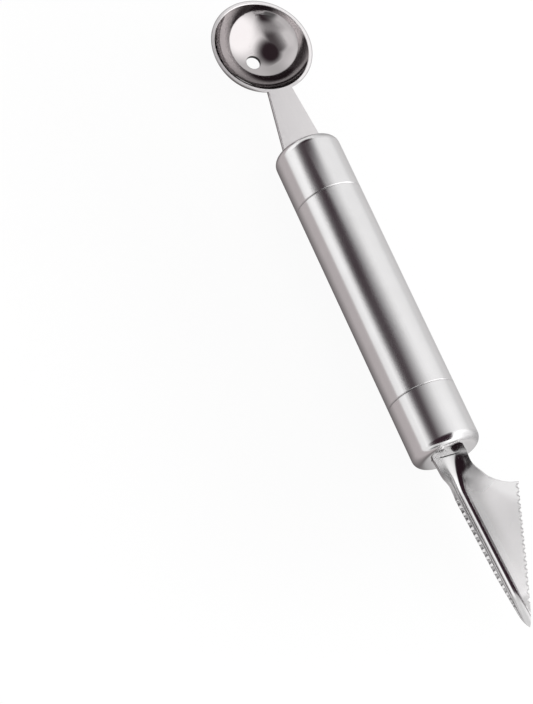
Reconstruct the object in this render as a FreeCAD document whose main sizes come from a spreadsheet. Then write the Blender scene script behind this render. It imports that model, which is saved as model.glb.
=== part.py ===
import FreeCAD
import Part
import Sketcher
import math
import os

# Double-ended melon baller: a round scoop and a V-folded serrated carving blade
# on one hollow steel handle. Millimetres and degrees.
# Origin: middle of the handle, on its axis. +X to the scoop, +Z to the open side
# of the scoop and of the blade.

SIZES = {
    # handle
    "handle_length": 103.2,
    "handle_diameter": 20.0,
    "tube_wall": 0.8,
    "cap_length": 18.6,
    "spigot_wall": 0.8,
    "end_wall": 1.0,
    "end_round": 2.8,
    "spigot_length": 8.0,
    "press_gap": 0.02,
    "seam_bevel": 0.25,
    "slot_gap": 0.12,
    # scoop
    "scoop_sheet": 1.0,
    "mouth_diameter": 29.0,
    "bowl_depth": 9.7,
    "scoop_reach": 35.2,
    "scoop_tilt": 5.0,
    "stem_width": 13.4,
    "stem_neck_width": 7.2,
    "stem_overlap": 2.0,
    "stem_edge_round": 0.3,
    "lip_bevel": 0.2,
    "vent_diameter": 4.4,
    "scoop_tang_length": 9.0,
    # carving blade
    "blade_sheet": 0.8,
    "blade_length": 53.0,
    "blade_tilt": 4.0,
    "blade_tang_length": 9.0,
    "neck_width": 10.8,
    "neck_length": 0.3,
    "forming_length": 8.7,
    "fold_angle": 60.0,
    "fold_radius": 2.0,
    "fold_drop": 3.85,
    "wing_root_width": 10.6,
    "wing_width": 18.6,
    "shoulder_reach": 17.5,
    "shoulder_curve": 22.0,
    "tooth_count": 15,
    "tooth_pitch": 2.2,
    "tooth_start": 1.2,
    "gullet_radius": 0.6,
    "tip_grind_length": 14.0,
    "tip_thickness": 0.12,
    # welds that hold the two tangs inside the end caps
    "weld_leg": 1.5,
    "weld_setback": 1.0,
}

# The neck is bent from flat to the full fold over this many sections. The first one is
# an arc with this small share of the full bend, so that all sections have like edges.
FORMING_STEPS = 6
FLAT_SHARE = 0.01

# Distances below this count as none.
TINY = 1e-4

doc = FreeCAD.newDocument("MelonBaller")
sheet = doc.addObject("Spreadsheet::Sheet", "Sizes")
for row, (alias, size) in enumerate(SIZES.items(), start=1):
    sheet.set(f"A{row}", alias)
    sheet.set(f"B{row}", str(size))
    sheet.setAlias(f"B{row}", alias)
doc.recompute()

# Lengths that several pieces share, as expressions on the sheet.
HALF_LENGTH = "Sizes.handle_length / 2"
TUBE_HALF = "(Sizes.handle_length / 2 - Sizes.cap_length)"
OUTER_RADIUS = "Sizes.handle_diameter / 2"
TUBE_INNER = "(Sizes.handle_diameter / 2 - Sizes.tube_wall)"
INNER_END = "(Sizes.handle_length / 2 - Sizes.end_wall)"


def value(expression):
    """Number that an expression on the sheet gives now."""
    return float(sheet.evalExpression(expression))


def plane(body, role):
    """Origin plane or axis of a body, by its role."""
    return next(item for item in body.Origin.OriginFeatures if item.Role == role)


def sketch_on(body, name, role, offset=None, turn=None):
    """Sketch on an origin plane, moved along its axes and turned about its own x axis."""
    sketch = body.newObject("Sketcher::SketchObject", name)
    sketch.AttachmentSupport = [(plane(body, role), "")]
    sketch.MapMode = "FlatFace"
    if turn is not None:
        sketch.AttachmentOffset.Rotation = FreeCAD.Rotation(FreeCAD.Vector(1, 0, 0), 1)
        sketch.setExpression("AttachmentOffset.Rotation.Angle", turn)
    for axis, expression in (offset or {}).items():
        sketch.setExpression(f"AttachmentOffset.Base.{axis}", expression)
    return sketch


def bind(sketch, constraint, expression):
    """Add a driving dimension and tie it to the sheet."""
    index = sketch.addConstraint(constraint)
    sketch.setExpression(f"Constraints[{index}]", expression)


def locate(sketch, geometry, position, x, y):
    """Fix a point of the sketch at the coordinates that two expressions give."""
    bind(sketch, Sketcher.Constraint("DistanceX", -1, 1, geometry, position, value(x)), x)
    bind(sketch, Sketcher.Constraint("DistanceY", -1, 1, geometry, position, value(y)), y)


def arc_between(first, last, radius, bulge_right):
    """Counterclockwise arc on a chord, bulging to the right or left of first to last."""
    chord = last - first
    half = chord.Length / 2
    sagitta = radius - math.sqrt(radius * radius - half * half)
    side = FreeCAD.Vector(chord.y, -chord.x, 0).normalize()
    middle = (first + last) * 0.5 + side * (sagitta if bulge_right else -sagitta)
    return Part.Arc(first, middle, last) if bulge_right else Part.Arc(last, middle, first)


def outline(sketch, corners):
    """Closed outline through corners (x, y) or (x, y, bend, radius).

    All entries but bend are expressions. A corner with a bend of "right" or "left"
    starts an arc that bulges to that side of the way to the next corner.
    """
    points = [FreeCAD.Vector(value(corner[0]), value(corner[1]), 0) for corner in corners]
    edges = []
    for corner, first, last in zip(corners, points, points[1:] + points[:1]):
        if len(corner) == 2:
            edges.append((sketch.addGeometry(Part.LineSegment(first, last)), 1, 2))
        else:
            bulge_right = corner[2] == "right"
            arc = arc_between(first, last, value(corner[3]), bulge_right)
            start, end = (1, 2) if bulge_right else (2, 1)
            edges.append((sketch.addGeometry(arc), start, end))
    for here, following in zip(edges, edges[1:] + edges[:1]):
        sketch.addConstraint(Sketcher.Constraint("Coincident", here[0], here[2], following[0], following[1]))
    for (geometry, start, _), corner in zip(edges, corners):
        locate(sketch, geometry, start, corner[0], corner[1])
        if len(corner) == 4:
            bind(sketch, Sketcher.Constraint("Radius", geometry, value(corner[3])), corner[3])


def circle(sketch, x, y, radius):
    """Circle with its centre and radius tied to the sheet."""
    centre = FreeCAD.Vector(value(x), value(y), 0)
    geometry = sketch.addGeometry(Part.Circle(centre, FreeCAD.Vector(0, 0, 1), value(radius)))
    locate(sketch, geometry, 3, x, y)
    bind(sketch, Sketcher.Constraint("Radius", geometry, value(radius)), radius)


def feature(body, kind, name, profile, **settings):
    """Feature of a body on a profile; a setting that starts with = is an expression."""
    item = body.newObject(f"PartDesign::{kind}", name)
    item.Profile = profile
    for key, setting in settings.items():
        if isinstance(setting, str) and setting.startswith("="):
            item.setExpression(key, setting[1:])
        else:
            setattr(item, key, setting)
    doc.recompute()
    return item


def turned(body, kind, name, profile, axis):
    """Feature that turns a profile once round an origin axis."""
    return feature(body, kind, name, profile, ReferenceAxis=(plane(body, axis), [""]), Angle=360.0)


def cut_through(body, name, profile, **settings):
    """Pocket through the whole body, which has to take something away."""
    item = feature(body, "Pocket", name, profile, Type="ThroughAll", **settings)
    must_cut(item)


def must_cut(item):
    """Stop if a cutting feature took nothing away."""
    if item.Shape.Volume > item.BaseFeature.Shape.Volume - TINY:
        raise RuntimeError(f"{item.Name} removes nothing")


def round_edges(body, name, radius, chosen):
    """Round the edges of the body's last feature that a test picks."""
    base = body.Tip
    names = [f"Edge{i}" for i, edge in enumerate(base.Shape.Edges, start=1) if chosen(edge)]
    fillet = body.newObject("PartDesign::Fillet", name)
    fillet.Base = (base, names)
    fillet.setExpression("Radius", radius)
    doc.recompute()


def handle_tube():
    """Centre of the grip: a straight thin-walled tube with bevelled rims at both seams."""
    body = doc.addObject("PartDesign::Body", "handle_tube")
    profile = sketch_on(body, "TubeProfile", "XZ_Plane")
    bevel_radius = f"{OUTER_RADIUS} - Sizes.seam_bevel"
    outline(profile, [
        (f"-{TUBE_HALF}", TUBE_INNER),
        (TUBE_HALF, TUBE_INNER),
        (TUBE_HALF, bevel_radius),
        (f"{TUBE_HALF} - Sizes.seam_bevel", OUTER_RADIUS),
        (f"-{TUBE_HALF} + Sizes.seam_bevel", OUTER_RADIUS),
        (f"-{TUBE_HALF}", bevel_radius),
    ])
    turned(body, "Revolution", "TubeTurn", profile, "X_Axis")
    return body


def tang_underside(sheet_thickness, tilt):
    """Height of a tilted tang's lower face where it leaves the end of the handle."""
    return f"({sheet_thickness} / 2 - {sheet_thickness} / cos({tilt}))"


def end_cap(label, turn, slot_width, sheet_thickness, tilt):
    """Turned cup that closes one end of the grip, with a spigot in the tube and a slot for a tang."""
    body = doc.addObject("PartDesign::Body", label)
    spigot_outer = f"({TUBE_INNER} - Sizes.press_gap)"
    bore = f"({TUBE_INNER} - Sizes.press_gap - Sizes.spigot_wall)"
    spigot_end = f"{TUBE_HALF} - Sizes.spigot_length"
    profile = sketch_on(body, label + "_profile", "XZ_Plane")
    outline(profile, [
        (spigot_end, bore),
        (INNER_END, bore),
        (INNER_END, "0"),
        (HALF_LENGTH, "0"),
        (HALF_LENGTH, f"{OUTER_RADIUS} - Sizes.end_round", "right", "Sizes.end_round"),
        (f"{HALF_LENGTH} - Sizes.end_round", OUTER_RADIUS),
        (f"{TUBE_HALF} + Sizes.seam_bevel", OUTER_RADIUS),
        (TUBE_HALF, f"{OUTER_RADIUS} - Sizes.seam_bevel"),
        (TUBE_HALF, spigot_outer),
        (spigot_end, spigot_outer),
    ])
    turned(body, "Revolution", label + "_turn", profile, "X_Axis")

    half_width = f"({slot_width} / 2 + Sizes.slot_gap)"
    top = f"{sheet_thickness} / 2 + Sizes.slot_gap"
    bottom = f"{tang_underside(sheet_thickness, tilt)} - Sizes.end_wall * tan({tilt}) - Sizes.slot_gap"
    slot = sketch_on(body, label + "_slot", "YZ_Plane")
    outline(slot, [
        (f"-{half_width}", bottom),
        (half_width, bottom),
        (half_width, top),
        (f"-{half_width}", top),
    ])
    cut_through(body, label + "_slot_cut", slot, Reversed=True)
    body.Placement = FreeCAD.Placement(FreeCAD.Vector(), FreeCAD.Rotation(FreeCAD.Vector(0, 0, 1), turn))
    return body


def scoop():
    """Stamped scoop: bowl, tapered stem and tang from one sheet, with the rim plane at z = 0."""
    body = doc.addObject("PartDesign::Body", "scoop")
    mouth = "(Sizes.mouth_diameter / 2)"
    inner_radius = f"(({mouth} ^ 2 + Sizes.bowl_depth ^ 2) / (2 * Sizes.bowl_depth))"
    centre_height = f"({inner_radius} - Sizes.bowl_depth)"
    outer_radius = f"({inner_radius} + Sizes.scoop_sheet)"
    rim_radius = f"sqrt({outer_radius} ^ 2 - {centre_height} ^ 2)"
    lip_radius = f"sqrt({inner_radius} ^ 2 - ({centre_height} + Sizes.lip_bevel) ^ 2)"

    stem = sketch_on(body, "StemOutline", "XY_Plane")
    half_stem = "Sizes.stem_width / 2"
    half_neck = "Sizes.stem_neck_width / 2"
    tang_end = "-Sizes.scoop_reach - Sizes.scoop_tang_length"
    stem_tip = f"-{mouth} + Sizes.stem_overlap"
    outline(stem, [
        (tang_end, f"-{half_stem}"),
        ("-Sizes.scoop_reach", f"-{half_stem}"),
        (stem_tip, f"-{half_neck}"),
        (stem_tip, half_neck),
        ("-Sizes.scoop_reach", half_stem),
        (tang_end, half_stem),
    ])
    feature(body, "Pad", "StemPad", stem, Length="=Sizes.scoop_sheet", Reversed=True)

    def long_top_edge(edge):
        first, last = edge.Vertexes[0].Point, edge.Vertexes[-1].Point
        on_one_side = first.y * last.y > TINY
        return on_one_side and abs(first.z) < TINY and abs(last.z) < TINY

    round_edges(body, "StemEdges", "Sizes.stem_edge_round", long_top_edge)

    dome = sketch_on(body, "BowlOutside", "XZ_Plane")
    outline(dome, [
        ("0", "-Sizes.bowl_depth - Sizes.scoop_sheet", "right", outer_radius),
        (rim_radius, "0"),
        ("0", "0"),
    ])
    turned(body, "Revolution", "BowlDome", dome, "Z_Axis")
    hollow = sketch_on(body, "BowlInside", "XZ_Plane")
    outline(hollow, [
        ("0", "-Sizes.bowl_depth", "right", inner_radius),
        (lip_radius, "-Sizes.lip_bevel"),
        (f"{lip_radius} + Sizes.lip_bevel", "0"),
        ("0", "0"),
    ])
    must_cut(turned(body, "Groove", "BowlHollow", hollow, "Z_Axis"))

    vent = sketch_on(body, "VentCircle", "XY_Plane")
    circle(vent, "0", "0", "Sizes.vent_diameter / 2")
    cut_through(body, "VentHole", vent)

    body.Placement.Rotation = FreeCAD.Rotation(FreeCAD.Vector(0, -1, 0), 1)
    body.setExpression("Placement.Rotation.Angle", "Sizes.scoop_tilt")
    body.setExpression("Placement.Base.x", f"{HALF_LENGTH} + Sizes.scoop_reach * cos(Sizes.scoop_tilt)")
    rise = "Sizes.scoop_reach * sin(Sizes.scoop_tilt)"
    body.setExpression("Placement.Base.z", f"Sizes.scoop_sheet / 2 + {rise}")
    return body


HALF_FOLD = "(Sizes.fold_angle / 2)"
FULL_BEND = "(90 - Sizes.fold_angle / 2)"
FOLD_ARC = "(Sizes.fold_radius * (90 - Sizes.fold_angle / 2) * pi / 180)"
TANGENT_WIDTH = f"(Sizes.fold_radius / tan{HALF_FOLD})"
APEX = f"(-Sizes.fold_drop - Sizes.fold_radius * (1 / sin{HALF_FOLD} - 1))"


def fold_section(body, name, along, bend_share, drop_share, half_width):
    """Cross-section of the sheet: two straight wings on a rounded fold, all of one thickness."""
    bend = f"({FULL_BEND} * {bend_share})"
    radius = f"(Sizes.fold_radius / {bend_share})"
    outer = f"({radius} + Sizes.blade_sheet)"
    centre = f"({radius} - Sizes.fold_drop * {drop_share})"
    straight = f"({half_width} - {FOLD_ARC})"
    inner_y, inner_z = f"{radius} * sin({bend})", f"{centre} - {radius} * cos({bend})"
    outer_y, outer_z = f"{outer} * sin({bend})", f"{centre} - {outer} * cos({bend})"
    reach_y, reach_z = f"{straight} * cos({bend})", f"{straight} * sin({bend})"
    section = sketch_on(body, name, "YZ_Plane", offset={"z": f"-({along})"})
    outline(section, [
        (f"-({inner_y} + {reach_y})", f"{inner_z} + {reach_z}"),
        (f"-({outer_y} + {reach_y})", f"{outer_z} + {reach_z}"),
        (f"-({outer_y})", outer_z, "right", outer),
        (outer_y, outer_z),
        (f"{outer_y} + {reach_y}", f"{outer_z} + {reach_z}"),
        (f"{inner_y} + {reach_y}", f"{inner_z} + {reach_z}"),
        (inner_y, inner_z, "left", radius),
        (f"-({inner_y})", inner_z),
    ])
    return section


def carving_blade():
    """V-folded blade: flat tang and neck, formed into a fold, and two toothed wings to a point."""
    body = doc.addObject("PartDesign::Body", "carving_blade")
    root = "(Sizes.neck_length + Sizes.forming_length)"
    root_half_width = f"(Sizes.wing_root_width - {TANGENT_WIDTH} + {FOLD_ARC})"
    full_half_width = f"(Sizes.wing_width - {TANGENT_WIDTH} + {FOLD_ARC})"

    sections = []
    for step in range(FORMING_STEPS + 1):
        share = step / FORMING_STEPS
        eased = 1 - (1 - share) ** 3
        bend_share = max(FLAT_SHARE, eased)
        half_width = f"(Sizes.neck_width / 2 + ({root_half_width} - Sizes.neck_width / 2) * {share})"
        along = f"Sizes.neck_length + Sizes.forming_length * {share}"
        sections.append(fold_section(body, f"Forming{step}", along, bend_share, eased, half_width))
    feature(body, "Pad", "TangPad", sections[0], Length="=Sizes.neck_length + Sizes.blade_tang_length")
    feature(body, "AdditiveLoft", "FormedNeck", sections[0], Sections=sections[1:])
    prism = fold_section(body, "FoldedSheet", root, 1, 1, full_half_width)
    feature(body, "Pad", "FoldedPad", prism, Length=f"=Sizes.blade_length - {root}", Reversed=True)

    shoulder = ("-Sizes.shoulder_reach", "Sizes.wing_width")
    tip_width = f"(({APEX} + Sizes.fold_drop) * -cos{HALF_FOLD})"
    edge_run = "(Sizes.blade_length - Sizes.shoulder_reach)"
    edge_rise = f"(Sizes.wing_width - {tip_width})"
    edge_length = f"sqrt({edge_run} ^ 2 + {edge_rise} ^ 2)"
    past_tip = "-2 * Sizes.blade_length"
    past_edge = "2 * Sizes.wing_width"
    for name, side in (("Right", 1), ("Left", -1)):
        on_wing = {"y": APEX}
        turn = f"{side} * {HALF_FOLD}"
        blank = sketch_on(body, name + "Blank", "XZ_Plane", offset=on_wing, turn=turn)
        outline(blank, [
            (f"-{root}", "Sizes.wing_root_width", "left", "Sizes.shoulder_curve"),
            shoulder,
            ("-Sizes.blade_length", tip_width),
            ("-Sizes.blade_length", "-Sizes.wing_width"),
            (past_tip, "-Sizes.wing_width"),
            (past_tip, past_edge),
            (f"-{root}", past_edge),
        ])
        cut_through(body, name + "Trim", blank, Midplane=True)
        teeth = sketch_on(body, name + "Gullets", "XZ_Plane", offset=on_wing, turn=turn)
        for tooth in range(int(value("Sizes.tooth_count"))):
            share = f"((Sizes.tooth_start + Sizes.tooth_pitch * {tooth}) / {edge_length})"
            circle(teeth, f"-Sizes.shoulder_reach - {edge_run} * {share}",
                   f"Sizes.wing_width - {edge_rise} * {share}", "Sizes.gullet_radius")
        cut_through(body, name + "Teeth", teeth, Midplane=True)

    grind_start = "-Sizes.blade_length + Sizes.tip_grind_length"
    underside = "(-Sizes.fold_drop - Sizes.blade_sheet)"
    ground = "-Sizes.fold_drop - Sizes.tip_thickness"
    grind = sketch_on(body, "FoldGrind", "XZ_Plane")
    outline(grind, [
        (grind_start, underside),
        (past_tip, underside),
        (past_tip, ground),
        ("-Sizes.blade_length", ground),
    ])
    cut_through(body, "GroundFold", grind, Midplane=True)
    for name, side in (("Left", 1), ("Right", -1)):
        turn = f"{-side} * {HALF_FOLD}"
        grind = sketch_on(body, name + "Grind", "XY_Plane", offset={"z": APEX}, turn=turn)
        outline(grind, [
            (grind_start, f"{side} * Sizes.blade_sheet"),
            (past_tip, f"{side} * Sizes.blade_sheet"),
            (past_tip, f"{side} * Sizes.tip_thickness"),
            ("-Sizes.blade_length", f"{side} * Sizes.tip_thickness"),
        ])
        cut_through(body, name + "GroundFace", grind, Midplane=True)

    body.Placement.Rotation = FreeCAD.Rotation(FreeCAD.Vector(0, 1, 0), 1)
    body.setExpression("Placement.Rotation.Angle", "Sizes.blade_tilt")
    body.setExpression("Placement.Base.x", f"-{HALF_LENGTH}")
    body.setExpression("Placement.Base.z", "Sizes.blade_sheet / 2")
    return body


def tang_welds(label, turn, width, sheet_thickness, tilt):
    """Two fillet welds, above and below a tang, against the inner face of its end cap."""
    slope = f"tan({tilt})"
    section = doc.addObject("Sketcher::SketchObject", label + "_section")
    section.Placement.Rotation = FreeCAD.Rotation(FreeCAD.Vector(1, 0, 0), 90)
    for face, way in ((f"{sheet_thickness} / 2", 1), (tang_underside(sheet_thickness, tilt), -1)):
        at_wall = f"({face} - Sizes.end_wall * {slope})"
        outline(section, [
            (INNER_END, at_wall),
            (INNER_END, f"{at_wall} + {way} * Sizes.weld_leg"),
            (f"{INNER_END} - Sizes.weld_leg", f"{at_wall} - Sizes.weld_leg * {slope}"),
        ])
    welds = doc.addObject("Part::Extrusion", label)
    welds.Base = section
    welds.DirMode = "Normal"
    welds.Solid = True
    welds.Symmetric = True
    welds.setExpression("LengthFwd", f"{width} - 2 * Sizes.weld_setback")
    welds.Placement = FreeCAD.Placement(FreeCAD.Vector(), FreeCAD.Rotation(FreeCAD.Vector(0, 0, 1), turn))
    return welds


def check(item):
    """Stop if an object failed or has no sound shape."""
    if "Invalid" in item.State or "Error" in item.State:
        raise RuntimeError(f"{item.Label} failed: {item.State}")
    if hasattr(item, "Shape") and not item.isDerivedFrom("App::OriginFeature"):
        if item.Shape.isNull() or not item.Shape.isValid():
            raise RuntimeError(f"{item.Label} has no sound shape")


pieces = [
    scoop(),
    end_cap("scoop_end_cap", 0, "Sizes.stem_width", "Sizes.scoop_sheet", "Sizes.scoop_tilt"),
    handle_tube(),
    end_cap("blade_end_cap", 180, "Sizes.neck_width", "Sizes.blade_sheet", "Sizes.blade_tilt"),
    carving_blade(),
    tang_welds("scoop_weld_beads", 0, "Sizes.stem_width", "Sizes.scoop_sheet", "Sizes.scoop_tilt"),
    tang_welds("blade_weld_beads", 180, "Sizes.neck_width", "Sizes.blade_sheet", "Sizes.blade_tilt"),
]
doc.recompute()
for item in doc.Objects:
    check(item)

os.makedirs("parts", exist_ok=True)
for piece in pieces:
    piece.Shape.exportStep(f"parts/{piece.Label}.step")
    solids = len(piece.Shape.Solids)
    print(f"{piece.Label}: {solids} solid(s), {piece.Shape.Volume:.1f} mm3")
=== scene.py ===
import math

import bpy
import numpy as np
from bpy.props import FloatProperty, FloatVectorProperty, IntProperty, PointerProperty
from mathutils import Matrix, Vector
from types import SimpleNamespace


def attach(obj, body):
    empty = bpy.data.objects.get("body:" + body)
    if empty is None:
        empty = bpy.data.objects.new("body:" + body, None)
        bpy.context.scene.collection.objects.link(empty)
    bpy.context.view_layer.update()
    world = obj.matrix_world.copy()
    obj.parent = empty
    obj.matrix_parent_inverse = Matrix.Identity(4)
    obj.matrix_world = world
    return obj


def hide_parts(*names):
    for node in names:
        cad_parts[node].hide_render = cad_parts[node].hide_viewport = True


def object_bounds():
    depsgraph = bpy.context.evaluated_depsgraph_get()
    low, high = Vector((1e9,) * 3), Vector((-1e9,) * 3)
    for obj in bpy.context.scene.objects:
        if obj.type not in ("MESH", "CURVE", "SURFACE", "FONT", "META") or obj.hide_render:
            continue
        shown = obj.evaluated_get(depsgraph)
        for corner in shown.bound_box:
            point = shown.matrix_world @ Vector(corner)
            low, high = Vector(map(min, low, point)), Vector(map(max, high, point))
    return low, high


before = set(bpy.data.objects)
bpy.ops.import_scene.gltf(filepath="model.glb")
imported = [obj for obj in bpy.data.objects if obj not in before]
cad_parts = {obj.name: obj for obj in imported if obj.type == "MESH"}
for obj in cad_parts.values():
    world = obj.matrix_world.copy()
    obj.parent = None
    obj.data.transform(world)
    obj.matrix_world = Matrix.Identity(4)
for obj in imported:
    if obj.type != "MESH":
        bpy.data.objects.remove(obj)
cad_low, cad_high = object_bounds()

bl_info = {
    "name": "Melon baller finishes",
    "version": (1, 0, 0),
    "blender": (4, 5, 0),
    "location": "View3D > Sidebar > Melon baller",
    "description": "Steel finishes and a plain studio for a double-ended melon baller",
    "category": "Object",
}

MM = 0.001

# Camera of the picture: place in metres, then the directions of the picture's right, down
# and forward, and the focal length in pixels of a frame this many pixels high.
CAMERA_PLACE = (-0.25499, 0.29167, 0.55902)
PICTURE_RIGHT = (-0.3783624, -0.8942178, 0.2391994)
PICTURE_DOWN = (-0.8469749, 0.2301845, -0.4792167)
PICTURE_FORWARD = (0.3734641, -0.3839134, -0.8444732)
FOCAL_PIXELS = 2400.0
PICTURE_HEIGHT = 704.0
SENSOR_MM = 36.0
CAMERA_CLIP = (0.01, 50.0)

# The handle: half its length and where its two seams are, in millimetres.
HALF_HANDLE = 51.6
SEAM_AT = 33.0

# How far the round at the handle's ends reaches in, rougher there and on one side painted darker as
# shade that dims its highlight, and half the width of a seam's groove.
ROUND_SHADE_FROM, ROUND_SHADE_TO = HALF_HANDLE - 3.2, HALF_HANDLE - 1.4
SEAM_OUTER, SEAM_INNER = 0.5, 0.1

# The scoop's rim plane: centre, tilt, and the sphere and radii of its bowl, in millimetres.
RIM_CENTRE = (86.666, 0.0, 3.568)
RIM_TILT = math.radians(5.0)
MOUTH_RADIUS = 14.5
BOWL_RADIUS = 15.688
BOWL_CENTRE_HEIGHT = 5.988
VENT_RADIUS = 2.2

# How metal darkens towards a glancing view, plain white, and the floor beyond the tool as metal
# shows it.
GLANCING_TINT = (0.75, 0.75, 0.75, 1.0)
WHITE = (1.0, 1.0, 1.0, 1.0)
FAR_FLOOR = (0.83, 0.82, 0.82, 1.0)

# Zones, in millimetres: each pair says where a zone begins to show and where it is full.
# The floor across the tool, as metal shows it: open floor, the side beyond the tool, and the strip
# it lies on, where the painted shadow is darkest.
FLOOR_HALF = 6.0
OPEN_FLOOR, FAR_SIDE, CONTACT_SHADOW = (60.0, 140.0), (8.0, -2.0), (24.0, 4.0)

# The blade's finish, with its painted shade and light, along it from the handle and across it from
# the fold.
NECK_SHADE_ALONG, WING_SHADE_ALONG = (10.0, 4.0), (40.0, 15.0)
FOLD_SHADE_ALONG, TIP_ALONG = (42.0, 18.0), (42.5, 44.5)
FOLD_SHADE_ACROSS, WING_ACROSS = (7.0, 1.2), (2.5, 6.0)
SHADED_SIDE, WING_SHADE_ACROSS = (0.5, 2.0), (7.0, 3.5)
PRESSED_ACROSS, PRESSED_START, PRESSED_END = (1.5, 3.0), (4.5, 7.0), (14.0, 10.0)

# The two dark cards over the tool: centre and half widths in metres, and their faint glow. Then
# their zones: the strip over the handle, the strip over the blade, where one takes over from the
# other, the strip's two ends, and the oval over the bowl with its tail.
HANDLE_CARD = ((0.0, 0.04, 0.03), 0.09, 0.08)
BOWL_CARD = ((0.07, 0.045, 0.06), 0.065, 0.07)
CARD_GLOW = (0.02, 0.004, 0.011, 1.0)
HANDLE_NEAR, HANDLE_FAR, HANDLE_FADE = (-10.0, 19.0), (62.0, 24.0), (110.0, 40.0)
HANDLE_SHIFT, HANDLE_PALER = (-10.0, -45.0), (15.0, 55.0)
BLADE_NEAR, BLADE_FAR, TAKE_OVER = (-6.0, -1.0), (110.0, 30.0), (-48.0, -42.0)
BLADE_END, SCOOP_END = (-83.4, -81.4), (78.0, 55.0)
OVAL_CENTRE, OVAL_HALF, OVAL_BORDER = (98.0, 17.0), (34.0, 29.0), (1.45, 0.55)
TAIL_START, TAIL_END, TAIL_NEAR, TAIL_FAR = (15.0, 58.0), (125.0, 105.0), (8.0, 28.0), (105.0, 35.0)

# The blade's grid: points along the tang, neck, hollow shoulder and the edge before the first
# gullet, then along one gullet, one land, the tip's edge and the fold's arc, and the steps across
# a face in its belt, wing and fold, and round a corner.
TANG_ROWS, NECK_ROWS, HOLLOW_ROWS, LEAD_ROWS = 12, 70, 50, 4
GULLET_ROWS, LAND_ROWS, TIP_ROWS, ARC_SAMPLES = 15, 7, 45, 200
BELT_STEPS, WING_STEPS, FOLD_STEPS, CORNER_STEPS = 4, 8, 12, 5

# How the fold closes along the neck: its share at the handle, how far past the neck it goes on
# closing, the share at which the fold line starts to drop, and the flare of the neck's outline.
FOLD_AT_HANDLE, FOLD_STRETCH, DROP_FROM = 0.2, 1.22, 0.08
NECK_FLARE = (-2.2, 3.9, -0.6, -0.1, 0.0)

# Across a face, in millimetres and as the most that a narrow blade gives them: the belt beside
# the edge and the bend. Then the run-in and the depth of the edge's bevel, the most of a sheet
# that its broken edge takes, and the gaps left beside the last gullet and at the tip.
BELT_WIDTH, BELT_SHARE, BEND_WIDTH, BEND_SHARE = 1.1, 0.45, 2.4, 0.7
BEVEL_RUN, BEVEL_DEPTH, EASE_SHARE, LAST_LAND, TIP_GAP = 1.5, 0.2, 0.3, 0.2, 0.04

# What the blade's sheet places say of its edges: plain edge, wall of a gullet, and how deep a
# cut counts as a gullet.
PLAIN_EDGE, GULLET_WALL, GULLET_FROM = 0.15, 1.0, 0.05

# The dome's soft patches, seen from below with 0, 0 overhead and 1 the horizon: centre, half
# sizes, softness of the border, and the share of light taken away or added.
DOME_PATCHES = (
    ((0.5, 0.06), (0.4, 0.17), 0.78, -0.17),
    ((-0.4, -0.47), (0.47, 0.52), 0.4, 1.1),
    ((0.02, 0.67), (0.26, 0.16), 0.5, 0.25),
    ((0.58, 0.62), (0.24, 0.36), 0.6, 0.25),
    ((-0.84, 0.44), (0.22, 0.26), 0.5, -0.8),
    ((0.32, -0.95), (0.6, 0.2), 0.8, -0.2),
)


class StudioSettings(bpy.types.PropertyGroup):
    dome_strength: FloatProperty(
        name="Dome strength", description="Brightness of the white light all round",
        default=1.0, min=0.0)
    floor_colour: FloatVectorProperty(
        name="Floor colour", description="Colour of the plain floor",
        subtype="COLOR", size=3, default=(0.95, 0.945, 0.945))
    # The colour of the floor's painted shadow beside the tool, as metal shows it.
    shade_colour: FloatVectorProperty(
        name="Shade colour",
        description="Colour of the floor close beside the tool, as metal shows it",
        subtype="COLOR", size=3, default=(0.561, 0.518, 0.521))
    shadow_share: FloatProperty(
        name="Shadow share", description="How much of the soft shadow the white floor keeps",
        subtype="FACTOR", default=0.06, min=0.0, max=1.0)


class SteelSettings(bpy.types.PropertyGroup):
    satin_colour: FloatVectorProperty(
        name="Satin steel", description="Colour of the satin handle",
        subtype="COLOR", size=3, default=(0.808, 0.799, 0.803))
    stem_colour: FloatVectorProperty(
        name="Stem steel", description="Colour of the ground stem and rim",
        subtype="COLOR", size=3, default=(0.643, 0.624, 0.629))
    bowl_colour: FloatVectorProperty(
        name="Bowl steel", description="Colour of the mirror-polished bowl",
        subtype="COLOR", size=3, default=(0.46, 0.436, 0.438))
    blade_colour: FloatVectorProperty(
        name="Blade steel", description="Colour of the polished blade",
        subtype="COLOR", size=3, default=(0.89, 0.881, 0.883))
    satin_roughness: FloatProperty(
        name="Satin roughness", description="Roughness of the handle",
        subtype="FACTOR", default=0.16, min=0.0, max=1.0)
    ground_roughness: FloatProperty(
        name="Ground roughness", description="Roughness of the stem and the ground rim",
        subtype="FACTOR", default=0.36, min=0.0, max=1.0)
    mirror_roughness: FloatProperty(
        name="Mirror roughness", description="Roughness of the polished bowl",
        subtype="FACTOR", default=0.07, min=0.0, max=1.0)
    blade_roughness: FloatProperty(
        name="Blade roughness", description="Roughness of the polished blade",
        subtype="FACTOR", default=0.1, min=0.0, max=1.0)


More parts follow.
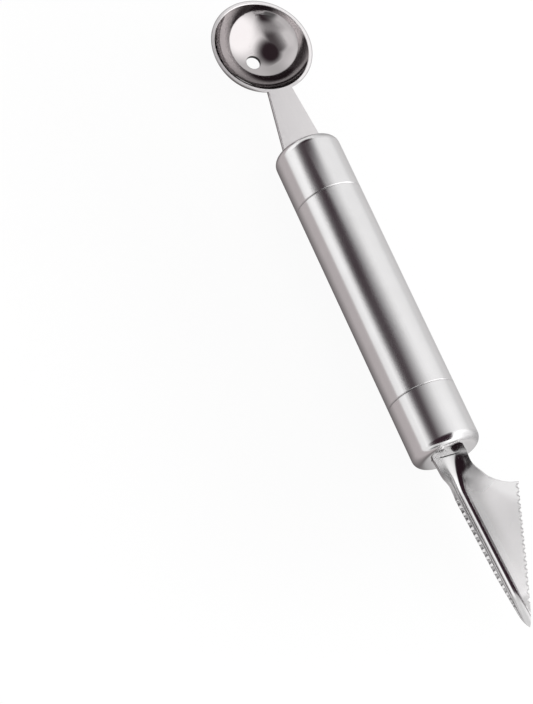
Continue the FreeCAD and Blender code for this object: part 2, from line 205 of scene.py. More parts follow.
class BladeSettings(bpy.types.PropertyGroup):
    sheet: FloatProperty(
        name="Sheet", description="Thickness of the blade's sheet",
        unit="LENGTH", default=0.0008, min=0.0001, precision=5)
    length: FloatProperty(
        name="Length", description="From the handle to the tip",
        unit="LENGTH", default=0.053, min=0.03, precision=5)
    tang: FloatProperty(
        name="Tang", description="Length hidden in the handle",
        unit="LENGTH", default=0.009, min=0.0, precision=5)
    tilt: FloatProperty(
        name="Tilt", description="How steeply the blade rises from the handle",
        subtype="ANGLE", default=math.radians(4.0))
    neck_width: FloatProperty(
        name="Neck width", description="Width of the flat neck",
        unit="LENGTH", default=0.0108, min=0.001, precision=5)
    neck_length: FloatProperty(
        name="Neck length", description="Flat part outside the handle",
        unit="LENGTH", default=0.0003, min=0.0, precision=5)
    forming: FloatProperty(
        name="Forming length", description="Length over which the flat neck closes to the fold",
        unit="LENGTH", default=0.0087, min=0.001, precision=5)
    fold_angle: FloatProperty(
        name="Fold angle", description="Angle between the two wings",
        subtype="ANGLE", default=math.radians(60.0))
    fold_radius: FloatProperty(
        name="Fold radius", description="Inner radius of the fold",
        unit="LENGTH", default=0.002, min=0.0001, precision=5)
    fold_drop: FloatProperty(
        name="Fold drop", description="Depth of the fold below the neck",
        unit="LENGTH", default=0.00385, min=0.0, precision=5)
    root_width: FloatProperty(
        name="Wing width at the root", description="From the fold's sharp corner to the edge",
        unit="LENGTH", default=0.0099, min=0.001, precision=5)
    wing_width: FloatProperty(
        name="Wing width", description="From the fold's sharp corner to the shoulder",
        unit="LENGTH", default=0.0186, min=0.001, precision=5)
    shoulder_reach: FloatProperty(
        name="Shoulder reach", description="From the handle to the shoulder",
        unit="LENGTH", default=0.0175, min=0.001, precision=5)
    shoulder_curve: FloatProperty(
        name="Shoulder curve", description="Radius of the hollow shoulder",
        unit="LENGTH", default=0.0205, min=0.001, precision=5)
    tooth_count: IntProperty(
        name="Teeth", description="Number of gullets along each edge", default=15, min=0)
    tooth_pitch: FloatProperty(
        name="Tooth pitch", description="Spacing of the gullets",
        unit="LENGTH", default=0.0022, min=0.0001, precision=5)
    tooth_start: FloatProperty(
        name="First tooth", description="From the shoulder to the first gullet",
        unit="LENGTH", default=0.0012, min=0.0, precision=5)
    gullet_radius: FloatProperty(
        name="Gullet radius", description="Radius of each gullet",
        unit="LENGTH", default=0.0006, min=0.0001, precision=5)
    tip_grind: FloatProperty(
        name="Tip grind", description="Length over which the tip is ground thin",
        unit="LENGTH", default=0.014, min=0.0, precision=5)
    tip_thickness: FloatProperty(
        name="Tip thickness", description="Thickness left at the tip",
        unit="LENGTH", default=0.00012, min=0.00001, precision=5)
    edge_bevel: FloatProperty(
        name="Edge bevel", description="How far the toothed edges slope to the outside",
        subtype="ANGLE", default=math.radians(22.0), min=0.0, max=math.radians(25.0))
    edge_round: FloatProperty(
        name="Edge round", description="Radius that breaks the sheet's edges",
        unit="LENGTH", default=0.00008, min=0.00001, precision=5)


class Signal:
    """A socket of a node tree that takes part in sums; each operator adds one Math node."""

    def __init__(self, tree, socket=None):
        self.tree = tree
        self.socket = socket

    def node(self, kind, settings=None, inputs=None, output=0):
        """Add a node: its type, its settings, its sockets' values or links, and its output."""
        made = self.tree.nodes.new("ShaderNode" + kind)
        for name, setting in (settings or {}).items():
            setattr(made, name, setting)
        for name, value in (inputs or {}).items():
            if isinstance(value, Signal):
                self.tree.links.new(value.socket, made.inputs[name])
            else:
                made.inputs[name].default_value = value
        return Signal(self.tree, made.outputs[output]) if made.outputs else None

    def math(self, operation, *values):
        return self.node("Math", {"operation": operation}, dict(enumerate(values)))

    def __add__(self, other):
        return self.math("ADD", self, other)

    def __radd__(self, other):
        return self.math("ADD", other, self)

    def __sub__(self, other):
        return self.math("SUBTRACT", self, other)

    def __rsub__(self, other):
        return self.math("SUBTRACT", other, self)

    def __mul__(self, other):
        return self.math("MULTIPLY", self, other)

    def __rmul__(self, other):
        return self.math("MULTIPLY", other, self)

    def __truediv__(self, other):
        return self.math("DIVIDE", self, other)

    def __abs__(self):
        return self.math("ABSOLUTE", self)

    def root(self):
        return self.math("SQRT", self)

    def parts(self):
        """The three parts of a vector."""
        return [self.node("SeparateXYZ", inputs={0: self}, output=axis) for axis in "XYZ"]

    def step(self, low, high):
        """0 below low and 1 above high, or the other way round, with a smooth rise between."""
        return self.node(
            "MapRange", {"interpolation_type": "SMOOTHSTEP"},
            {"Value": self, "From Min": low, "From Max": high, "To Min": 0.0, "To Max": 1.0})


def new_material(name):
    """An empty node material, and a Signal to build it with."""
    material = bpy.data.materials.new(name)
    material.use_nodes = True
    material.node_tree.nodes.clear()
    return material, Signal(material.node_tree)


def place_in_mm(start):
    """Object coordinates in millimetres: the vector and its three parts."""
    place = start.node("TexCoord", output="Object")
    scaled = start.node("VectorMath", {"operation": "SCALE"}, {0: place, "Scale": 1.0 / MM})
    return scaled, scaled.parts()


def noise(vector, scale, detail=2.0, stretch=(1.0, 1.0, 1.0)):
    """Noise from 0 to 1 on a vector in millimetres, with its own stretch along the axes."""
    squeezed = vector.node("VectorMath", {"operation": "MULTIPLY"}, {0: vector, 1: stretch})
    return vector.node("TexNoise", inputs={"Vector": squeezed, "Scale": scale, "Detail": detail})


def blend(factor, first, second):
    """Colour between two colour signals."""
    return factor.node("Mix", {"data_type": "RGBA"}, {0: factor, 6: first, 7: second}, output=2)


def tint(factor, first, second):
    """Colour between two plain colours."""
    return blend(factor, (*first, 1.0), (*second, 1.0))


def finish_steel(start, colour, roughness, height, strength, distance_mm):
    """Metal with a colour, a roughness and a fine relief, as the material's surface."""
    relief = start.node(
        "Bump", inputs={"Strength": strength, "Distance": distance_mm * MM, "Height": height})
    metal = start.node("BsdfPrincipled", inputs={
        "Base Color": colour, "Metallic": 1.0, "Roughness": roughness, "Normal": relief,
        "Specular Tint": GLANCING_TINT})
    start.node("OutputMaterial", inputs={"Surface": metal})


def dim(colour, share):
    """A plain colour times a share."""
    return tuple(part * share for part in colour)


def millimetres(settings):
    """The settings as plain numbers, lengths in millimetres."""
    plain = SimpleNamespace()
    for name in settings.__annotations__:
        value = getattr(settings, name)
        is_length = settings.bl_rna.properties[name].unit == "LENGTH"
        setattr(plain, name, value / MM if is_length else value)
    return plain


def folded_sheet(blade, along, across, depth):
    """Blade sheet, in metres: an arc about the fold line with straight wings, leaning more as the
    fold closes along the neck; depth goes down from the inner face."""
    closed = np.clip(along / (FOLD_STRETCH * (blade.neck_length + blade.forming)), 0.0, 1.0)
    share = FOLD_AT_HANDLE + (1.0 - FOLD_AT_HANDLE) * closed * (1.0 + closed - closed ** 2)
    radius = blade.fold_radius / share
    lean = (math.pi - blade.fold_angle) / 2 * share
    turn = np.clip(across / radius, -lean, lean)
    straight = across - radius * turn
    y = (radius + depth) * np.sin(turn) + straight * np.cos(turn)
    z = radius - (radius + depth) * np.cos(turn) + straight * np.sin(turn)
    z = z - blade.fold_drop * (share - DROP_FROM) / (1.0 - DROP_FROM)
    cosine, sine = math.cos(blade.tilt), math.sin(blade.tilt)
    x = z * sine - along * cosine - HALF_HANDLE
    z = z * cosine + along * sine + blade.sheet / 2
    return np.stack([x, y, z], -1) * MM


def blade_border(blade):
    """Half outline of the flat blade: distance along and across, the way in from it, as an angle,
    and how deep a gullet cuts there. Straight tang, widening neck, hollow shoulder as an arc, then
    the straight edge with half circles cut out of it, to the tip."""
    full = (math.pi - blade.fold_angle) / 2
    half_fold = blade.fold_angle / 2
    arc = blade.fold_radius * full
    tangent = blade.fold_radius / math.tan(half_fold)
    root = blade.neck_length + blade.forming
    root_half = blade.root_width - tangent + arc
    neck_half = blade.neck_width / 2

    tang = np.linspace(-blade.tang, blade.neck_length, TANG_ROWS)[:-1]
    neck = np.linspace(blade.neck_length, root, NECK_ROWS)[:-1]
    far = (neck - blade.neck_length) / blade.forming
    flare = np.polyval(NECK_FLARE, far)
    neck_across = neck_half + (root_half - neck_half) * flare

    start = np.array([root, blade.root_width])
    shoulder = np.array([blade.shoulder_reach, blade.wing_width])
    chord = shoulder - start
    size = np.hypot(*chord)
    off = np.array([-chord[1], chord[0]]) / size
    centre = (start + shoulder) / 2 + off * math.sqrt(blade.shoulder_curve ** 2 - size ** 2 / 4)
    first, last = (math.atan2(*(point - centre)[::-1]) for point in (start, shoulder))
    sweep = np.linspace(first, last, HOLLOW_ROWS)[:-1]
    hollow = centre + blade.shoulder_curve * np.stack([np.cos(sweep), np.sin(sweep)], -1)

    tip_half = blade.fold_radius * (1 / math.sin(half_fold) - 1) * math.cos(half_fold)
    tip = np.array([blade.length, tip_half])
    edge = tip - shoulder
    edge_length = np.hypot(*edge)
    edge = edge / edge_length
    inward = np.array([edge[1], -edge[0]])
    gullets = blade.tooth_start + blade.tooth_pitch * np.arange(blade.tooth_count)
    swing = np.linspace(0.0, math.pi, GULLET_ROWS)
    land_end = blade.tooth_pitch - blade.gullet_radius
    land = np.linspace(blade.gullet_radius, land_end, LAND_ROWS)[1:-1]
    run = (gullets[:, None] + np.concatenate([-blade.gullet_radius * np.cos(swing), land])).ravel()
    one_sink = np.concatenate([blade.gullet_radius * np.sin(swing), land * 0.0])
    sink = np.tile(one_sink, blade.tooth_count)
    lead = np.linspace(0.0, gullets[0] - blade.gullet_radius, LEAD_ROWS)[:-1]
    rest = np.linspace(run[-1] + LAST_LAND, edge_length - TIP_GAP, TIP_ROWS)
    run = np.concatenate([lead, run, rest])
    sink = np.concatenate([lead * 0.0, sink, rest * 0.0])
    cut = shoulder + run[:, None] * edge + sink[:, None] * inward

    wing = np.concatenate([hollow, cut])
    turns = np.linspace(0.0, full, ARC_SAMPLES)
    reach = blade.fold_radius * (
        np.sin(turns) * math.sin(half_fold)
        + (1 / math.sin(half_fold) - np.cos(turns)) * math.cos(half_fold))
    on_arc = np.interp(wing[:, 1], reach, blade.fold_radius * turns)
    wing_across = np.where(wing[:, 1] > tangent, wing[:, 1] - tangent + arc, on_arc)
    along = np.concatenate([tang, neck, wing[:, 0]])
    across = np.concatenate([np.full_like(tang, neck_half), neck_across, wing_across])
    slant = math.atan2(-edge[1], edge[0])
    way_in = np.concatenate([
        tang * 0.0, neck * 0.0, np.linspace(0.0, slant, len(hollow)), np.full(len(cut), slant)])
    clear = np.concatenate([np.zeros(len(along) - len(cut)), sink])
    return along, across, way_in, clear


def blade_mesh(settings):
    """Closed skin of the blade: rows along its border, each a loop over the inner face, round one
    edge, back over the outer face and round the other edge."""
    blade = millimetres(settings)
    along, across, way_in, sink = blade_border(blade)
    slope = np.stack([np.gradient(along), np.gradient(across)], -1)
    slope /= np.linalg.norm(slope, axis=-1, keepdims=True)
    out_along, out_across = -slope[:, 1], slope[:, 0]
    thick = blade.sheet + (blade.tip_thickness - blade.sheet) * np.clip(
        (along - blade.length) / blade.tip_grind + 1.0, 0.0, 1.0)
    ease = np.minimum(blade.edge_round, EASE_SHARE * np.minimum(thick, across))

    plain = across + sink * np.cos(way_in)
    belt = np.minimum(BELT_WIDTH, BELT_SHARE * plain) - sink
    belt_along = along - belt * np.sin(way_in)
    belt_across = across - belt * np.cos(way_in)
    bend_across = np.minimum(BEND_WIDTH, BEND_SHARE * belt_across)
    bevel = blade.edge_bevel * np.clip((along - blade.shoulder_reach) / BEVEL_RUN, 0.0, 1.0)
    bevel = bevel * (1.0 - np.clip(sink / BEVEL_DEPTH, 0.0, 1.0))
    lower = thick * np.tan(bevel)

    def between(first, second, steps):
        share = np.linspace(0.0, 1.0, steps + 1)[None, :-1]
        return first[:, None] + (second - first)[:, None] * share

    def face(inset):
        border_along, border_across = along - out_along * inset, across - out_across * inset
        half_along = np.concatenate([
            between(border_along, belt_along, BELT_STEPS),
            between(belt_along, belt_along, WING_STEPS + FOLD_STEPS),
            belt_along[:, None]], 1)
        half_across = np.concatenate([
            between(border_across, belt_across, BELT_STEPS),
            between(belt_across, bend_across, WING_STEPS),
            between(bend_across, bend_across * 0.0, FOLD_STEPS), belt_across[:, None] * 0.0], 1)
        return (np.concatenate([half_along, half_along[:, -2::-1]], 1),
                np.concatenate([half_across, -half_across[:, -2::-1]], 1))

    face_along, face_across = face(ease)
    back_along, back_across = face(ease + lower)
    corner = np.linspace(0.0, math.pi / 2, CORNER_STEPS)[None, 1:]
    inset = ease[:, None] * (1.0 - np.sin(corner))
    inset = np.concatenate([inset, inset[:, ::-1]], 1)
    fall = ease[:, None] * (1.0 - np.cos(corner))
    fall = np.concatenate([fall, thick[:, None] - fall[:, ::-1]], 1)
    inset = inset + lower[:, None] * fall / thick[:, None]
    edge_along = along[:, None] - out_along[:, None] * inset
    edge_across = across[:, None] - out_across[:, None] * inset

    loop_along = np.concatenate([
        face_along, edge_along, back_along[:, ::-1], edge_along[:, ::-1]], 1)
    loop_across = np.concatenate([
        face_across, -edge_across, back_across[:, ::-1], edge_across[:, ::-1]], 1)
    loop_depth = np.concatenate([
        face_along * 0.0, fall, face_along * 0.0 + thick[:, None], fall[:, ::-1]], 1)

    points = folded_sheet(blade, loop_along, loop_across, loop_depth)
    nudge = 1e-3
    by_along = folded_sheet(blade, loop_along + nudge, loop_across, loop_depth) - points
    by_across = folded_sheet(blade, loop_along, loop_across + nudge, loop_depth) - points
    up = np.cross(by_across, by_along)
    up /= np.linalg.norm(up, axis=-1, keepdims=True)
    out = by_along * out_along[:, None, None] + by_across * out_across[:, None, None]
    other = by_along * out_along[:, None, None] - by_across * out_across[:, None, None]
    out /= np.linalg.norm(out, axis=-1, keepdims=True)
    other /= np.linalg.norm(other, axis=-1, keepdims=True)
    slant = bevel[:, None] / (math.pi / 2)
    lean = np.concatenate([
        corner * (1.0 + slant), math.pi - corner[:, ::-1] * (1.0 - slant)], 1)[..., None]
    faces, edges = face_along.shape[1], edge_along.shape[1]
    normals = up.copy()
    right = slice(faces, faces + edges)
    left = slice(2 * faces + edges, None)
    normals[:, right] = up[:, right] * np.cos(lean) + other[:, right] * np.sin(lean)
    normals[:, faces + edges:2 * faces + edges] *= -1.0
    normals[:, left] = up[:, left] * np.cos(lean[:, ::-1]) + out[:, left] * np.sin(lean[:, ::-1])
    raw = np.zeros_like(loop_along)
    raw[:, right] = raw[:, left] = np.where(sink[:, None] > GULLET_FROM, GULLET_WALL, PLAIN_EDGE)
    sheet = np.stack([loop_along, loop_across, raw], -1)
    return ring_mesh("carving_blade_skin", points, normals, sheet)


def ring_mesh(name, points, normals, sheet):
    """Mesh of rows of closed loops, its two ends filled, with its own normals and sheet places."""
    rows, columns = points.shape[:2]
    index = np.arange(rows * columns).reshape(rows, columns)
    across = np.roll(index, -1, 1)
    quads = np.stack([index[:-1], index[1:], across[1:], across[:-1]], -1).reshape(-1, 4)
    mesh = bpy.data.meshes.new(name)
    ends = [index[0].tolist(), index[-1, ::-1].tolist()]
    mesh.from_pydata(points.reshape(-1, 3).tolist(), [], quads.tolist() + ends)
    place = mesh.attributes.new("sheet", "FLOAT_VECTOR", "POINT")
    place.data.foreach_set("vector", sheet.reshape(-1).astype(np.float32))
    mesh.shade_smooth()
    mesh.normals_split_custom_set_from_vertices(normals.reshape(-1, 3).tolist())
    piece = bpy.data.objects.new(name, mesh)
    bpy.context.scene.collection.objects.link(piece)
    return piece


def satin_handle_steel(steel):
    """Satin handle: fine rings from turning, faint handling marks, dull seams, a rougher round at
    the ends painted darker on one side as shade that dims its highlight, polished end faces."""
    material, start = new_material("satin_handle_steel")
    vector, (along, across, _) = place_in_mm(start)
    ring_lines = noise(vector, 1.0, 3.0, (3.2, 0.12, 0.12))
    handling = noise(vector, 0.16, 3.0)
    end_face = abs(along).step(HALF_HANDLE - 0.7, HALF_HANDLE - 0.05)
    seam = abs(abs(along) - SEAM_AT).step(SEAM_OUTER, SEAM_INNER)
    # The round at the ends is rougher on the -Y side, and there its colour is painted darker:
    # painted shade that dims the highlight it reflects.
    rough_shaded_round = abs(along).step(ROUND_SHADE_FROM, ROUND_SHADE_TO) * (1.0 - end_face) * across.step(3.0, -3.0)
    rough = steel.satin_roughness + (ring_lines - 0.5) * 0.05 + (handling - 0.5) * 0.06
    rough = rough * (1.0 - end_face * 0.6) + rough_shaded_round * 0.3 + seam * 0.12
    base = tuple(steel.satin_colour)
    colour = tint(handling * 0.35 + seam * 0.6, base, dim(base, 0.72))
    colour = blend(rough_shaded_round * 0.75, colour, tint(handling, dim(base, 0.52), dim(base, 0.44)))
    finish_steel(start, colour, rough, ring_lines, 0.02, 0.05)
    return material


def scoop_steel(steel):
    """Scoop: mirror-polished bowl, ground rim with painted shade at its outer edge and towards +Y,
    satin stem with lengthwise grain, rougher vent hole painted near black as the shade inside it.
    """
    material, start = new_material("scoop_steel")
    vector, (along, across, up) = place_in_mm(start)
    cosine, sine = math.cos(RIM_TILT), math.sin(RIM_TILT)
    forward, rise = along - RIM_CENTRE[0], up - RIM_CENTRE[2]
    along_rim = forward * cosine + rise * sine
    above_rim = rise * cosine - forward * sine
    from_axis = (along_rim * along_rim + across * across).root()
    over_centre = above_rim - BOWL_CENTRE_HEIGHT
    from_centre = (from_axis * from_axis + over_centre * over_centre).root()
    flat_top = above_rim.step(-0.12, -0.04)
    inside = from_centre.step(BOWL_RADIUS + 0.3, BOWL_RADIUS + 0.1) * (1.0 - flat_top)
    stem = from_axis.step(MOUTH_RADIUS + 1.4, MOUTH_RADIUS + 2.2)
    shaded_hole_wall = from_axis.step(VENT_RADIUS + 0.1, VENT_RADIUS + 0.02)
    grain = noise(vector, 1.0, 3.0, (0.15, 3.0, 0.6))
    smudge = noise(vector, 0.22, 3.0)
    satin = flat_top.math("MAXIMUM", flat_top, stem)
    polish = steel.mirror_roughness + (smudge - 0.5) * 0.03 + (1.0 - inside) * 0.06
    ground = steel.ground_roughness + (grain - 0.5) * 0.12
    rough = polish * (1.0 - satin) + ground * satin + shaded_hole_wall * 0.3
    mirror, bright = tuple(steel.bowl_colour), tuple(steel.stem_colour)
    by_stem = along_rim.step(-9.0, -12.0) * abs(across).step(7.5, 6.0)
    # The rim's colour: the smudges are its own tone, while darker towards its outer edge and
    # towards +Y is painted shade.
    outer_edge = from_axis.step(MOUTH_RADIUS + 0.65, MOUTH_RADIUS + 1.0)
    rim_smudge_and_shade = smudge * 0.2 + outer_edge * 0.8 + across.step(2.0, 12.0) * 0.35
    rim_steel = tint(rim_smudge_and_shade, dim(bright, 1.3), dim(bright, 0.65))
    stem_steel = tint(grain * 0.25, bright, dim(bright, 0.8))
    ground_steel = blend(stem.math("MAXIMUM", stem, by_stem), rim_steel, stem_steel)
    colour = blend(satin, tint(smudge * 0.2, mirror, dim(mirror, 0.8)), ground_steel)
    # The vent hole's wall is rougher and painted near black, as the shade inside the hole.
    colour = blend(shaded_hole_wall, colour, tint(grain, dim(mirror, 0.06), dim(mirror, 0.16)))
    finish_steel(start, colour, rough, grain * satin, 0.05, 0.05)
    return material


def blade_steel(steel):
    """Blade: bright polish with faint grinding lines; painted shade in and beside the fold, on the
    neck and on the +Y wing, which is rougher; a ground tip painted lighter on the -Y wing and
    darker on the +Y side; raw cut edges and gullets, painted darker still as shade."""
    material, start = new_material("blade_steel")
    vector, _ = place_in_mm(start)
    sheet = start.node("Attribute", {"attribute_name": "sheet"}, output="Vector")
    along, across, raw = sheet.parts()
    from_fold = abs(across)
    grinding = noise(sheet, 1.0, 3.0, (2.6, 0.25, 0.0))
    smudge = noise(vector, 0.2, 3.0)
    fold_shade = from_fold.step(*FOLD_SHADE_ACROSS) * along.step(*FOLD_SHADE_ALONG)
    tip = along.step(*TIP_ALONG)
    wing = from_fold.step(*WING_ACROSS)
    cut = raw.step(0.2, 1.0)
    ground_and_shaded_edge = raw.step(0.03, 0.12) * tip * 0.7
    pressed = from_fold.step(*PRESSED_ACROSS) * along.step(*PRESSED_END)
    pressed = pressed * along.step(*PRESSED_START)
    # The +Y side is rougher away from the tip. Near the fold on that side, and over the whole neck,
    # the colour is painted darker: painted shade that dims the bright streaks these parts reflect.
    rough_shaded_side = across.step(*SHADED_SIDE)
    neck_and_wing_shade = rough_shaded_side * across.step(*WING_SHADE_ACROSS) * along.step(*WING_SHADE_ALONG) * 0.45
    neck_and_wing_shade = neck_and_wing_shade.math("MAXIMUM", neck_and_wing_shade, along.step(*NECK_SHADE_ALONG))
    rough = steel.blade_roughness + (grinding - 0.5) * 0.05 + (smudge - 0.5) * 0.04
    rough = rough + wing * 0.16 + tip * 0.05 + cut * 0.2 + pressed * 0.2
    rough = rough + rough_shaded_side * (1.0 - tip) * 0.14
    bright = tuple(steel.blade_colour)
    polished = tint(smudge * 0.25 + grinding * 0.15, bright, dim(bright, 0.9))
    # Painted shade in and beside the fold, over most of the blade's length.
    polished = blend(fold_shade * 0.3, polished, tint(smudge, dim(bright, 0.6), dim(bright, 0.7)))
    polished = blend(neck_and_wing_shade, polished, tint(smudge, dim(bright, 0.42), dim(bright, 0.52)))
    # The ground tip's colour, with smudges: painted light on the -Y wing, brighter than the blade
    # itself, and painted shade on the +Y side.
    tip_light_and_shade = across.step(-1.8, 0.2) * 0.85 + (smudge - 0.5) * 0.3
    polished = blend(tip, polished, tint(tip_light_and_shade, dim(bright, 1.08), dim(bright, 0.62)))
    # Cut edges, gullet walls and the tip's edges are raw steel, painted darker still as the shade
    # in the gullets, a little darker on the +Y side.
    raw_and_shaded_edge = tint(across.step(-1.0, 1.0), dim(bright, 0.62), dim(bright, 0.55))
    colour = blend(cut * (1.0 - tip) + ground_and_shaded_edge, polished, raw_and_shaded_edge)
    finish_steel(start, colour, rough, grinding, 0.03, 0.04)
    return material


def weld_steel(steel):
    """Weld beads: dull, rippled and heat-tinted."""
    material, start = new_material("weld_steel")
    vector, _ = place_in_mm(start)
    ripple = noise(vector, 1.0, 2.0, (0.8, 2.4, 0.8))
    base = tuple(steel.bowl_colour)
    colour = tint(ripple, dim(base, 0.45), (0.42, 0.33, 0.24))
    finish_steel(start, colour, 0.4 + ripple * 0.2, ripple, 0.5, 0.2)
    return material


def dress(material, *names):
    """Give CAD nodes a material."""
    for name in names:
        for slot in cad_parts[name].material_slots:
            slot.material = material


class MELON_OT_handle(bpy.types.Operator):
    """Give the handle's tube and its two end caps their satin finish"""
    bl_idname = "melon_baller.handle"
    bl_label = "Handle finish"

    def execute(self, context):
        material = satin_handle_steel(context.scene.melon_steel)
        dress(material, "handle_tube", "scoop_end_cap", "blade_end_cap")
        return {"FINISHED"}


class MELON_OT_scoop(bpy.types.Operator):
    """Give the scoop its polished bowl, ground rim and satin stem"""
    bl_idname = "melon_baller.scoop"
    bl_label = "Scoop finish"

    def execute(self, context):
        dress(scoop_steel(context.scene.melon_steel), "scoop")
        return {"FINISHED"}


class MELON_OT_blade(bpy.types.Operator):
    """Make the carving blade as one smooth folded sheet with its bright polish"""
    bl_idname = "melon_baller.blade"
    bl_label = "Carving blade"

    def execute(self, context):
        piece = blade_mesh(context.scene.melon_blade)
        piece.data.materials.append(blade_steel(context.scene.melon_steel))
        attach(piece, "root")
        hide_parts("carving_blade")
        return {"FINISHED"}


class MELON_OT_welds(bpy.types.Operator):
    """Give the hidden weld beads their dull finish"""
    bl_idname = "melon_baller.welds"
    bl_label = "Weld finish"

    def execute(self, context):
        dress(weld_steel(context.scene.melon_steel), "scoop_weld_beads", "blade_weld_beads")
        return {"FINISHED"}


def flat_sheet(name, centre, half_x, half_y):
    """A rectangle: x and y run evenly over the two half widths, at one height."""
    u, v = np.meshgrid((-1.0, 1.0), (-1.0, 1.0))
    points = np.stack([
        centre[0] + u * half_x, centre[1] + v * half_y, np.full_like(u, centre[2])], -1)
    mesh = bpy.data.meshes.new(name)
    mesh.from_pydata(points.reshape(-1, 3).tolist(), [], [(0, 1, 3, 2)])
    sheet = bpy.data.objects.new(name, mesh)
    bpy.context.scene.collection.objects.link(sheet)
    return sheet


def floor_material(studio):
    """Pale floor: white to the camera with a share of its soft shadow; to metal that reflects it,
    dimmer beside the tool, where its shadow is painted."""
    material, start = new_material("pale_floor")
    _, (_, across, _) = place_in_mm(start)
    plain = start.node("BsdfDiffuse", inputs={"Color": (*studio.floor_colour, 1.0)})
    white = start.node("Emission", inputs={"Color": WHITE, "Strength": 1.0})
    shade = tuple(studio.shade_colour)
    # As metal sees it, the floor is painted darker beside the tool as its shadow: darkest along the
    # strip it lies on, paler on the far side, white beyond.
    beside = tint(across.step(*CONTACT_SHADOW), shade, dim(shade, 0.35))
    beside = blend(across.step(*FAR_SIDE), beside, FAR_FLOOR)
    seen_in_metal = blend(across.step(*OPEN_FLOOR), beside, WHITE)
    mirrored = start.node("Emission", inputs={"Color": seen_in_metal, "Strength": 1.0})
    seen = start.node("LightPath", output="Is Camera Ray") * (1.0 - studio.shadow_share)
    in_metal = start.node("LightPath", output="Is Glossy Ray")
    mixed = start.node("MixShader", inputs={0: seen, 1: plain, 2: white})
    mixed = start.node("MixShader", inputs={0: in_metal, 1: mixed, 2: mirrored})
    start.node("OutputMaterial", inputs={"Surface": mixed})
    return material


def card_material(name, shade):
    """Dark card with soft borders, which metal shows and the camera looks through."""
    material, start = new_material(name)
    _, (along, across, _) = place_in_mm(start)
    hidden = start.node("LightPath", output="Is Camera Ray")
    clear = start.node("BsdfTransparent")
    dark = start.node("Emission", inputs={"Color": CARD_GLOW, "Strength": 1.0})
    mixed = start.node("MixShader", inputs={
        0: shade(along, across) * (1.0 - hidden), 1: clear, 2: dark})
    start.node("OutputMaterial", inputs={"Surface": mixed})
    return material


def handle_card_shade(along, across):
    """A long strip over the handle, and a crisper one over the blade that ends before the tip."""
    near_side = across - along.step(*HANDLE_SHIFT) * 4.0
    far_border = across.step(*HANDLE_FAR) * 0.6 + across.step(*HANDLE_FADE) * 0.4
    over_handle = near_side.step(*HANDLE_NEAR) * far_border
    over_blade = across.step(*BLADE_NEAR) * across.step(*BLADE_FAR)
    on_handle = along.step(*TAKE_OVER)
    strip = over_handle * on_handle * 0.93 + over_blade * (1.0 - on_handle) * 0.985
    strip = strip * (1.0 - along.step(*HANDLE_PALER) * 0.4)
    return strip * along.step(*BLADE_END) * along.step(*SCOOP_END)


def bowl_card_shade(along, across):
    """An oval over the bowl with a paler tail to the side."""
    off_x = (along - OVAL_CENTRE[0]) / OVAL_HALF[0]
    off_y = (across - OVAL_CENTRE[1]) / OVAL_HALF[1]
    oval = (off_x * off_x + off_y * off_y).root().step(*OVAL_BORDER) * 0.97
    tail = along.step(*TAIL_START) * along.step(*TAIL_END)
    tail = tail * across.step(*TAIL_NEAR) * across.step(*TAIL_FAR)
    return oval.math("MAXIMUM", oval, tail * 0.88)


def dome_world(studio):
    """White dome of light with soft darker and brighter patches, plain white to the camera."""
    world = bpy.data.worlds.new("white_dome")
    world.use_nodes = True
    world.node_tree.nodes.clear()
    start = Signal(world.node_tree)
    x, y, z = start.node("TexCoord", output="Generated").parts()
    low = abs(z) + 1.0
    light = studio.dome_strength
    for centre, half, soft, change in DOME_PATCHES:
        long = (x / low - centre[0]) / half[0]
        wide = (y / low - centre[1]) / half[1]
        patch = (long * long + wide * wide).root().step(1.0 + soft, 1.0 - soft)
        light = (patch * change + 1.0) * light
    seen = start.node("LightPath", output="Is Camera Ray")
    dome = start.node("Background", inputs={"Color": seen + (1.0 - seen) * light, "Strength": 1.0})
    start.node("OutputWorld", inputs={"Surface": dome})
    return world


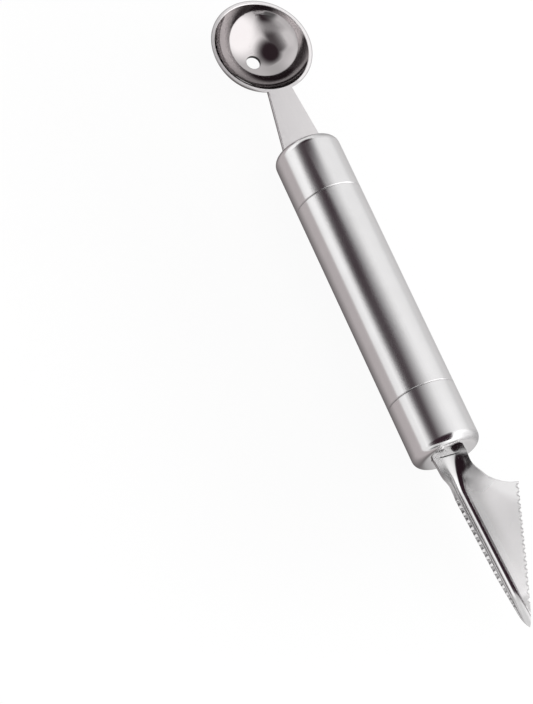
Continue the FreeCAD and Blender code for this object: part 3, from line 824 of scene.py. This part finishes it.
class MELON_OT_studio(bpy.types.Operator):
    """Make the floor, the two dark cards, the white dome with its patches and the camera"""
    bl_idname = "melon_baller.studio"
    bl_label = "Studio"

    def execute(self, context):
        studio = context.scene.melon_studio
        floor = flat_sheet("floor", (0.0, 0.0, cad_low.z), FLOOR_HALF, FLOOR_HALF)
        floor.data.materials.append(floor_material(studio))
        strip = flat_sheet("handle_card", *HANDLE_CARD)
        strip.data.materials.append(card_material("handle_card", handle_card_shade))
        oval = flat_sheet("bowl_card", *BOWL_CARD)
        oval.data.materials.append(card_material("bowl_card", bowl_card_shade))
        context.scene.world = dome_world(studio)

        camera = bpy.data.objects.new("camera", bpy.data.cameras.new("camera"))
        right, down, forward = map(Vector, (PICTURE_RIGHT, PICTURE_DOWN, PICTURE_FORWARD))
        turn = Matrix((right, -down, -forward)).transposed().to_4x4()
        camera.matrix_world = Matrix.Translation(CAMERA_PLACE) @ turn
        camera.data.sensor_width = SENSOR_MM
        camera.data.lens = FOCAL_PIXELS / PICTURE_HEIGHT * SENSOR_MM
        camera.data.clip_start, camera.data.clip_end = CAMERA_CLIP
        context.scene.collection.objects.link(camera)
        context.scene.camera = camera
        context.scene.view_settings.view_transform = "Standard"
        return {"FINISHED"}


class MELON_PT_panel(bpy.types.Panel):
    bl_idname = "MELON_PT_panel"
    bl_label = "Melon baller"
    bl_space_type = "VIEW_3D"
    bl_region_type = "UI"
    bl_category = "Melon baller"

    def draw(self, context):
        scene = context.scene
        for settings in (scene.melon_steel, scene.melon_blade, scene.melon_studio):
            for name in settings.__annotations__:
                self.layout.prop(settings, name)
        for operator in OPERATORS:
            self.layout.operator(operator.bl_idname)


OPERATORS = (MELON_OT_handle, MELON_OT_scoop, MELON_OT_blade, MELON_OT_welds, MELON_OT_studio)
CLASSES = (StudioSettings, SteelSettings, BladeSettings, *OPERATORS, MELON_PT_panel)


def register():
    for cls in CLASSES:
        bpy.utils.register_class(cls)
    bpy.types.Scene.melon_studio = PointerProperty(type=StudioSettings)
    bpy.types.Scene.melon_steel = PointerProperty(type=SteelSettings)
    bpy.types.Scene.melon_blade = PointerProperty(type=BladeSettings)


def unregister():
    del bpy.types.Scene.melon_blade
    del bpy.types.Scene.melon_steel
    del bpy.types.Scene.melon_studio
    for cls in reversed(CLASSES):
        bpy.utils.unregister_class(cls)


def main():
    register()
    bpy.ops.melon_baller.handle()
    bpy.ops.melon_baller.scoop()
    bpy.ops.melon_baller.blade()
    bpy.ops.melon_baller.welds()
    bpy.ops.melon_baller.studio()


if __name__ == "__main__":
    main()
